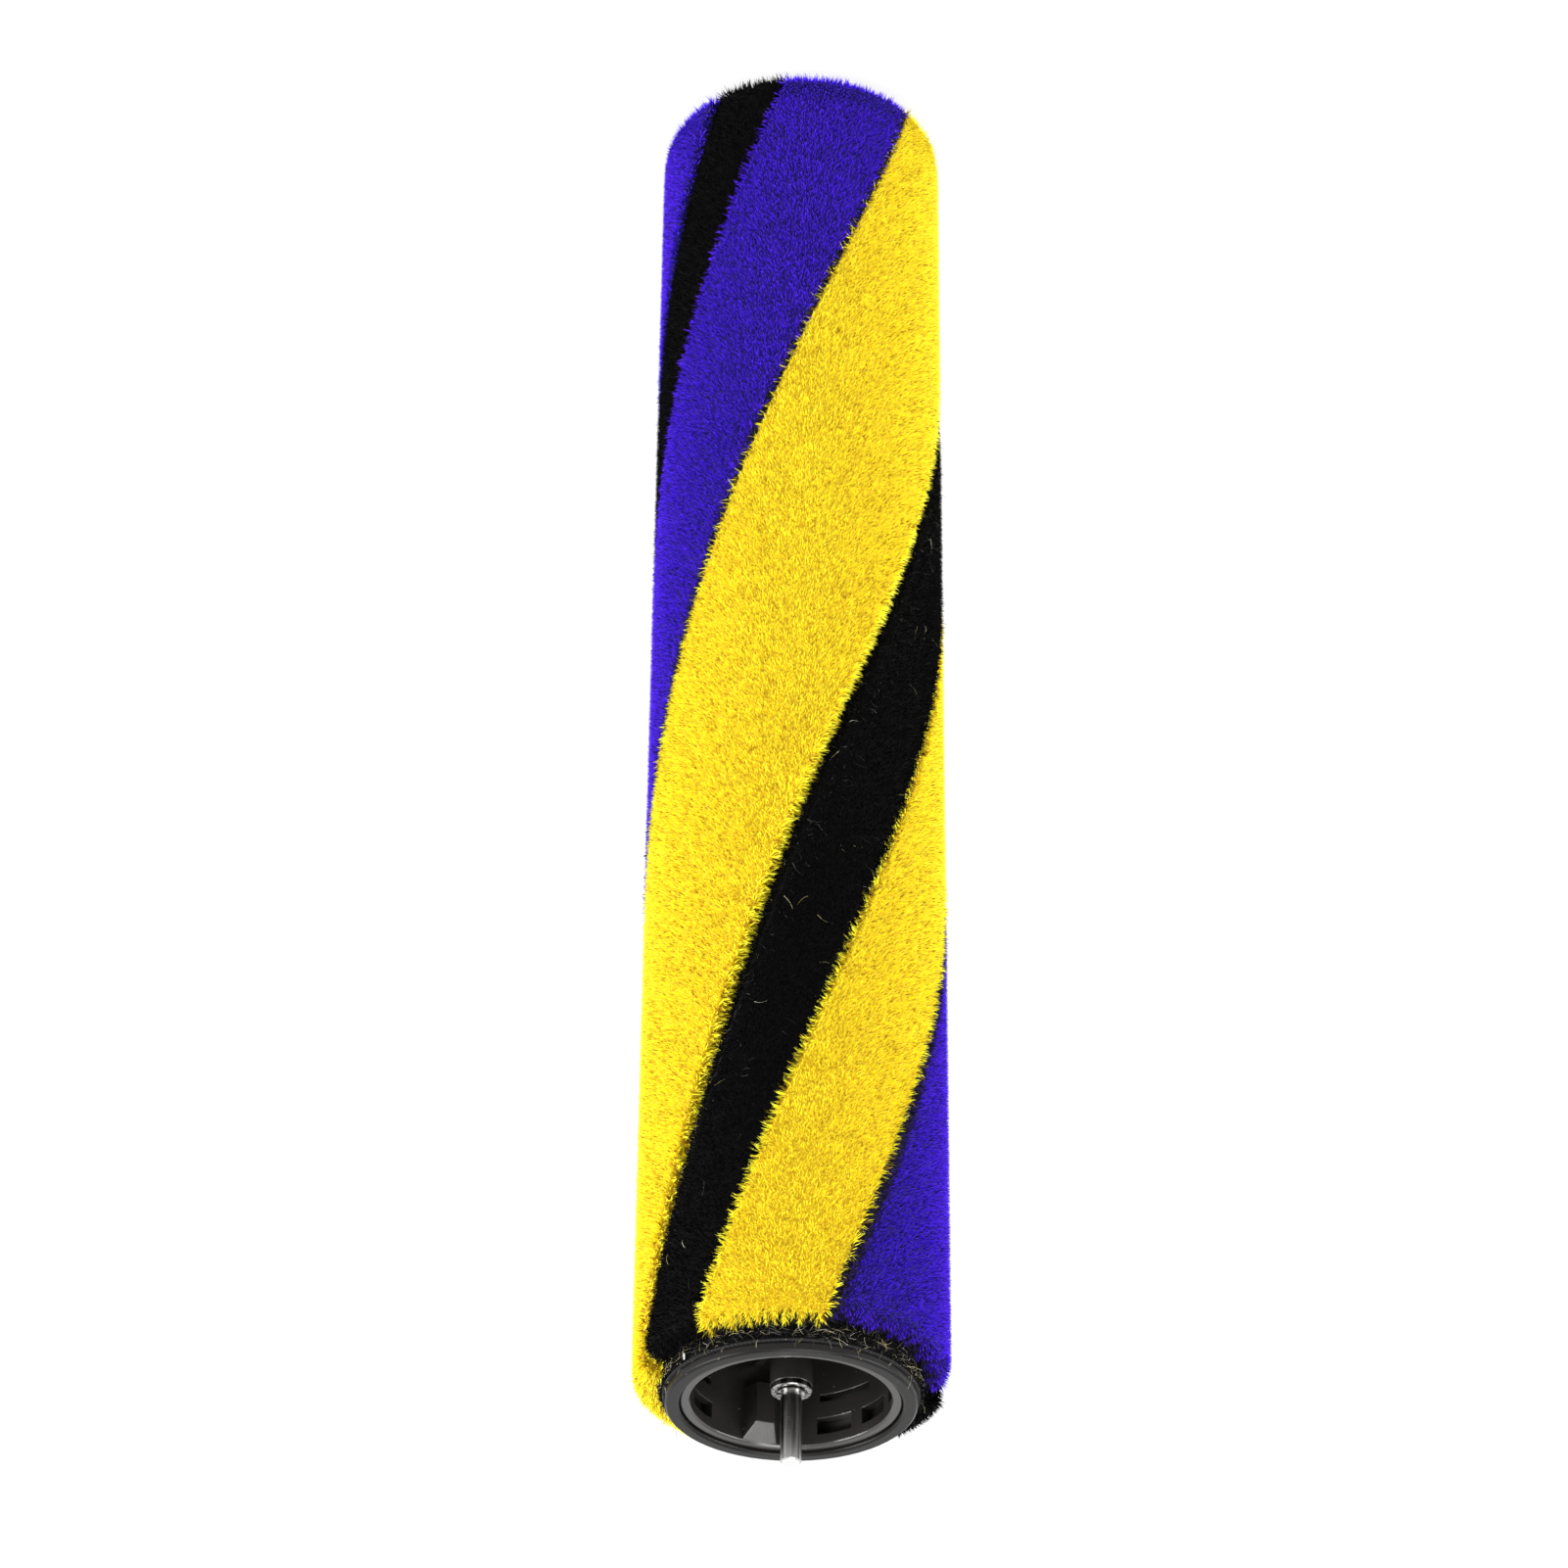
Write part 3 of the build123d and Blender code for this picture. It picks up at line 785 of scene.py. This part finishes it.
# %% [markdown]
# ## Frayed hem
#
# The bands are cut off at the ends of the tube, and their black backing frays there. The fray
# is two things: short black fuzz, which is more of the same tufts on a ring of cloth, and loose
# threads that lie about. A second tree scatters those, each a bent tube of three sides. It also
# lays a few stray hairs on the black strip, and many where its pile is parted along the seam.
# One fleck of lint is caught in the hem. The grey on black threads and hairs is a painted highlight.


# %% Fuzz along the hem
HEM_CLOTH = 0.15 * MM
HEM_LIFT = 0.01 * MM
HEM_SEGMENTS = 240


def hem_ring(name, low, high):
    """Closed thin ring of cloth on the backing, whose outside grows fuzz."""
    inner = BACKING_RADIUS + HEM_LIFT
    outer = inner + HEM_CLOTH
    profile = [(inner, low), (outer, low), (outer, high), (inner, high)]
    bm = bmesh.new()
    loops = []
    for number in range(HEM_SEGMENTS):
        turn = 2 * math.pi * number / HEM_SEGMENTS
        loops.append([bm.verts.new((r * math.cos(turn), r * math.sin(turn), z)) for r, z in profile])
    outside = []
    for here, there in zip(loops, loops[1:] + loops[:1]):
        for side in range(4):
            bm.faces.new((here[side], there[side], there[side - 3], here[side - 3]))
            outside.append(1.0 if side == 1 else 0.0)
    bmesh.ops.recalc_face_normals(bm, faces=bm.faces)
    mesh = bpy.data.meshes.new(name)
    bm.to_mesh(mesh)
    bm.free()
    mark(mesh, "grow", outside, "FACE")
    places = np.array([v.co for v in mesh.vertices])
    for label, value in {"ink": NO_INK, "reach": 1.0, "calm": 0.0, "fringe": 0.0}.items():
        mark(mesh, label, np.full(len(places), value))
    mark(mesh, "bed_v", np.arctan2(places[:, 1], places[:, 0]) / (2 * math.pi) + 0.5)
    mark(mesh, "bed_u", (places[:, 2] - low) / (high - low))
    return add_object(name, mesh)


def grow_hem(name, low, high, comb, length, seed):
    """Black fuzz on one end's hem."""
    ring = hem_ring(name, low, high)
    values = {
        "Spacing": 0.16 * MM,
        "Density": 30e6,
        "Length": length,
        "Width": 0.07 * MM,
        "Clump": 0.0,
        "Swirl": 2.2,
        "Stray": 0.6,
        "Comb": comb,
        "Seed": seed,
        "Finish": PILE_FINISHES["black_pile"],
    }
    run_tree(ring, TUFT_TREE, TUFT_KEYS, values)
    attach(ring, "roller")
    print(f"{name}: {triangles(ring)} triangles")


grow_hem("near_hem_fuzz", PILE_HIGH - 2.2 * MM, BACKING_HIGH - 0.2 * MM, (0, 0, 0.2), 0.7 * MM, 21)
grow_hem("far_hem_fuzz", BACKING_LOW, PILE_LOW + 1.0 * MM, (0, 0, -0.3), 0.9 * MM, 22)


# %% Loose threads
THREAD_SPREAD = (1, 1, 0.5)
THREAD_SHORTEST = 0.35
THREAD_BOW, THREAD_TAIL = 0.16, -0.05
PARTED_ANGLE = 11.0


def thread_finish(name):
    """Yarn ends: most are black, some are grey with a painted highlight on black yarn, and a few are pale.
    """
    material, graph, shader = new_material(name)
    shade = graph.node("ShaderNodeAttribute", {"attribute_name": "shade"}, output="Fac")
    # The greys of this ramp are painted highlights on black yarn.
    dark_stops = [(0.0, (6, 6, 6)), (0.35, (34, 33, 34)), (0.6, (110, 107, 104))]
    pale_stops = [(0.8, (176, 160, 84)), (1.0, (226, 222, 208))]
    stops = dark_stops + pale_stops
    yarn = graph.node("ShaderNodeValToRGB", {"stops": stops}, {"Fac": shade})
    feed(graph, shader, Base_Color=yarn, Roughness=0.45, Specular_IOR_Level=0.5)
    return material


def thread_tree():
    """Tree that lays bent threads on a surface, each in its own direction, and drops the surface."""
    inputs = {
        "Density": "Float",
        "Length": "Float",
        "Thickness": "Float",
        "Lift": "Float",
        "Palest": "Float",
        "Comb": "Vector",
        "Seed": "Int",
        "Finish": "Material",
    }
    graph, keys = new_tree("loose_threads", inputs)
    given = graph.node("NodeGroupInput")
    points = graph.node(
        "GeometryNodeDistributePointsOnFaces",
        {"distribute_method": "RANDOM"},
        {"Mesh": given, "Density": given.out("Density"), "Seed": given.out("Seed")},
    )
    normal = points.out("Normal")
    flat = vector(graph, "CROSS_PRODUCT", any_way(graph, given.out("Seed")), normal)
    flat = vector(graph, "MULTIPLY", vector(graph, "NORMALIZE", flat), THREAD_SPREAD)
    flat = vector(graph, "ADD", flat, given.out("Comb"))
    heading = vector(graph, "ADD", flat, scaled(graph, normal, given.out("Lift")))
    short = chance(graph, 33, THREAD_SHORTEST, 1.0)
    size = graph.node("ShaderNodeCombineXYZ", {}, {"X": 1.0, "Y": 1.0, "Z": short})

    length = given.out("Length")
    middle = graph.node("ShaderNodeCombineXYZ", {}, {"X": THREAD_BOW * length, "Z": 0.5 * length})
    tail = graph.node("ShaderNodeCombineXYZ", {}, {"X": THREAD_TAIL * length, "Z": length})
    route = {"Resolution": 5, "Start": (0, 0, 0), "Middle": middle, "End": tail}
    bend = graph.node("GeometryNodeCurveQuadraticBezier", {}, route)
    along = graph.node("GeometryNodeSplineParameter")
    bend = store(graph, bend, "tip", along)
    girth = {"Resolution": 3, "Radius": given.out("Thickness")}
    section = store(graph, graph.node("GeometryNodeCurvePrimitiveCircle", {}, girth), "side", along)
    tube = {"Curve": bend, "Profile Curve": section, "Fill Caps": True}
    thread = graph.node("GeometryNodeCurveToMesh", {}, tube)
    threads = scatter(graph, points, thread, aim(graph, heading, 31), size)
    shade = (chance(graph, 35) * given.out("Palest")).clamp()
    threads = store(graph, threads, "shade", shade, domain="INSTANCE")
    threads = graph.node("GeometryNodeRealizeInstances", {}, {"Geometry": threads})
    across = 0.03 + 0.9 * read(graph, "shade") + 0.02 * read(graph, "side")
    threads = bake_map(graph, threads, across, 0.05 + 0.9 * read(graph, "tip"))
    finish_tree(graph, threads, given.out("Finish"))
    return graph, keys


THREAD_TREE, THREAD_KEYS = thread_tree()
THREAD_FINISH = thread_finish("loose_thread")


def lay_threads(bed, density, length, thickness, lift, palest, seed, comb=(0, 0, 0)):
    """Lays loose threads on a surface, which they replace."""
    values = {
        "Density": density,
        "Length": length,
        "Thickness": thickness,
        "Lift": lift,
        "Palest": palest,
        "Comb": comb,
        "Seed": seed,
        "Finish": THREAD_FINISH,
    }
    run_tree(bed, THREAD_TREE, THREAD_KEYS, values)
    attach(bed, "roller")
    print(f"{bed.name}: {triangles(bed)} triangles")


near_hem = hem_ring("near_hem_threads", PILE_HIGH - 1.0 * MM, BACKING_HIGH - 0.4 * MM)
lay_threads(near_hem, 3.0e6, 2.6 * MM, 0.02 * MM, lift=0.12, palest=1.0, seed=41)
black_strip = field_bed("stray_hairs", FIELDS[0], FIRST_SEAM)
lay_threads(black_strip, 0.04e6, 3.0 * MM, 0.02 * MM, lift=0.2, palest=1.0, seed=42)
# These hairs reach only the greys of the thread ramp: a painted highlight on black fibres where the pile
# parts.
parted_strip = field_bed("parted_hairs", replace(FIELDS[0], angle=PARTED_ANGLE), FIRST_SEAM)
lay_threads(parted_strip, 0.6e6, 2.0 * MM, 0.022 * MM, lift=1.2, palest=0.55, seed=43, comb=(0, 0, 1.2))

# %% Lint on the hem
LINT_PLACE = Vector((15.0, -11.0, 227.5)) * MM
LINT_SIZE = Vector((0.16, 0.22, 0.6)) * MM
LINT_BEND = 0.25 * MM
LINT_LEAN = math.radians(20)


def make_lint():
    """White fleck of lint that is caught in the hem, a bent grain."""
    bm = bmesh.new()
    bmesh.ops.create_icosphere(bm, subdivisions=3, radius=1.0)
    lean = Matrix.Rotation(LINT_LEAN, 3, "X")
    for vertex in bm.verts:
        bent = vertex.co * LINT_SIZE
        bent.y += LINT_BEND * vertex.co.z**2
        vertex.co = LINT_PLACE + lean @ bent
    mesh = bpy.data.meshes.new("lint_fleck")
    bm.to_mesh(mesh)
    bm.free()
    mesh.shade_smooth()
    material, graph, shader = new_material("lint")
    feed(graph, shader, Base_Color=colour(240, 240, 236), Roughness=0.8)
    mesh.materials.append(material)
    lint = add_object("lint_fleck", mesh)
    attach(lint, "roller")
    return lint


print(f"{make_lint().name} lies on the hem")

# %% [markdown]
# ## Hard pieces
#
# The tube and the insert are black mouldings with a satin skin, and the pin and its bushes are
# steel. CAD already gives their true shapes, so they only need finishes: a fine bump, patches
# of gloss, softened edges and specks of dust for the mouldings, and fine turning marks for the
# metal, with painted reflection streaks along it and a painted highlight on the pin's tip. The
# backing shows only in seams and at the hem, as a black weave.


# %% Finishes of the hard pieces
GLOSS_SCALE, GRAIN_SCALE, SPECK_SCALE, STREAK_SCALE = 160, 5200, 700.0, 1600
# Dust is real; the near white tip colour is a painted highlight that makes the pin's tip brighter than
# steel.
DUST, TIP_GLINT = (150, 148, 145), (252, 252, 252)
TIP_GLINT_DEPTH = 0.5 * MM
# Share of the steel's colour in the darker streaks, which are painted reflections.
PAINTED_STREAK_SHARE = 0.45
WARP_WAVES, WEFT_WAVES = 170.0, 9000.0
SOFT_EDGE = 0.25 * MM
TUBE_BLACK = [(11, 10, 10), (23, 21, 20)]
CARRIER_BLACK = [(32, 30, 29), (50, 47, 45)]


def object_place(graph):
    """Object coordinates, in metres."""
    return graph.node("ShaderNodeTexCoord", output="Object")


def bump(graph, height, distance, strength=1.0, **more):
    """Bump of a height from 0 to 1, so many metres deep."""
    inputs = {"Height": height, "Distance": distance, "Strength": strength, **more}
    return graph.node("ShaderNodeBump", {}, inputs)


def moulding_finish(name, dark, pale, gloss, shine, dust, edge):
    """Satin black moulding: patchy gloss, a fine grain, soft edges and a few specks of dust."""
    material, graph, shader = new_material(name)
    place = object_place(graph)
    patch = noise(graph, place, GLOSS_SCALE, 3)
    grain = noise(graph, place, GRAIN_SCALE, 1)
    cells = {"Vector": place, "Scale": SPECK_SCALE}
    specks = graph.node("ShaderNodeTexVoronoi", {}, cells, output="Distance") < dust
    skin = blend(graph, patch, colour(*dark), colour(*pale))
    feed(graph, shader, Base_Color=blend(graph, specks, skin, colour(*DUST)))
    rounded = graph.node("ShaderNodeBevel", {"samples": 6}, {"Radius": edge})
    feed(graph, shader, Roughness=gloss + 0.16 * patch, Specular_IOR_Level=shine)
    feed(graph, shader, Normal=bump(graph, 0.6 * grain + 0.4 * patch, 0.04 * MM, 0.5, Normal=rounded))
    return material


def metal_finish(name, tone, rough, marks):
    """Turned steel: fine marks round the axis, darker streaks along it that are painted reflections
    and are rougher too, and a near white tip that is a painted highlight.
    """
    material, graph, shader = new_material(name)
    place = object_place(graph)
    axes = graph.node("ShaderNodeSeparateXYZ", {}, {"Vector": place})
    level = axes.out("Z")
    reach = vector(graph, "LENGTH", vector(graph, "MULTIPLY", place, (1, 1, 0))).out("Value")
    turned = noise(graph, graph.node("ShaderNodeCombineXYZ", {}, {"X": reach, "Z": level}), marks, 2)
    painted_streak = noise(graph, vector(graph, "MULTIPLY", place, (1, 1, 0.03)), STREAK_SCALE, 1)
    painted_streak = graph.node("ShaderNodeMapRange", {}, {"Value": painted_streak, "From Min": 0.35, "From Max": 0.65})
    tip = {"Value": level, "From Min": TIP_LEVEL - TIP_GLINT_DEPTH, "From Max": TIP_LEVEL}
    tip_glint = graph.node("ShaderNodeMapRange", {}, tip)
    skin = blend(graph, painted_streak, colour(*(PAINTED_STREAK_SHARE * part for part in tone)), colour(*tone))
    feed(graph, shader, Base_Color=blend(graph, tip_glint, skin, colour(*TIP_GLINT)), Metallic=1.0)
    feed(graph, shader, Roughness=rough + 0.08 * turned + 0.08 * painted_streak)
    feed(graph, shader, Normal=bump(graph, turned, 0.01 * MM, 0.2))
    return material


def weave_finish(name):
    """Black woven backing: threads that cross round the tube and along it."""
    material, graph, shader = new_material(name)
    place = object_place(graph)
    parts = graph.node("ShaderNodeSeparateXYZ", {}, {"Vector": place})
    turn = graph.node("ShaderNodeMath", {"operation": "ARCTAN2"}, {0: parts.out("Y"), 1: parts})
    warp = (turn * WARP_WAVES).sine()
    weft = (parts.out("Z") * WEFT_WAVES).sine()
    cloth = 0.5 + 0.25 * warp + 0.25 * weft
    weave = blend(graph, cloth, colour(5, 5, 5), colour(24, 23, 24))
    feed(graph, shader, Base_Color=weave, Roughness=0.8)
    feed(graph, shader, Normal=bump(graph, cloth, 0.15 * MM))
    return material


FINISHES = {
    "tube_plastic": moulding_finish("tube_plastic", *TUBE_BLACK, 0.22, 0.2, 0.04, SOFT_EDGE),
    "carrier_plastic": moulding_finish("carrier_plastic", *CARRIER_BLACK, 0.1, 0.8, 0.05, SOFT_EDGE),
    "bush_metal": metal_finish("bush_metal", (176, 174, 172), 0.16, 9000),
    "spindle_steel": metal_finish("spindle_steel", (190, 188, 186), 0.14, 6000),
    "backing_weave": weave_finish("backing_weave"),
}
for part in frame["record"]["subparts"]:
    if part["material_slot"] in FINISHES:
        for place in frame["nodes"][part["node"]].material_slots:
            place.material = FINISHES[part["material_slot"]]
print("finishes on the hard pieces:", ", ".join(FINISHES))
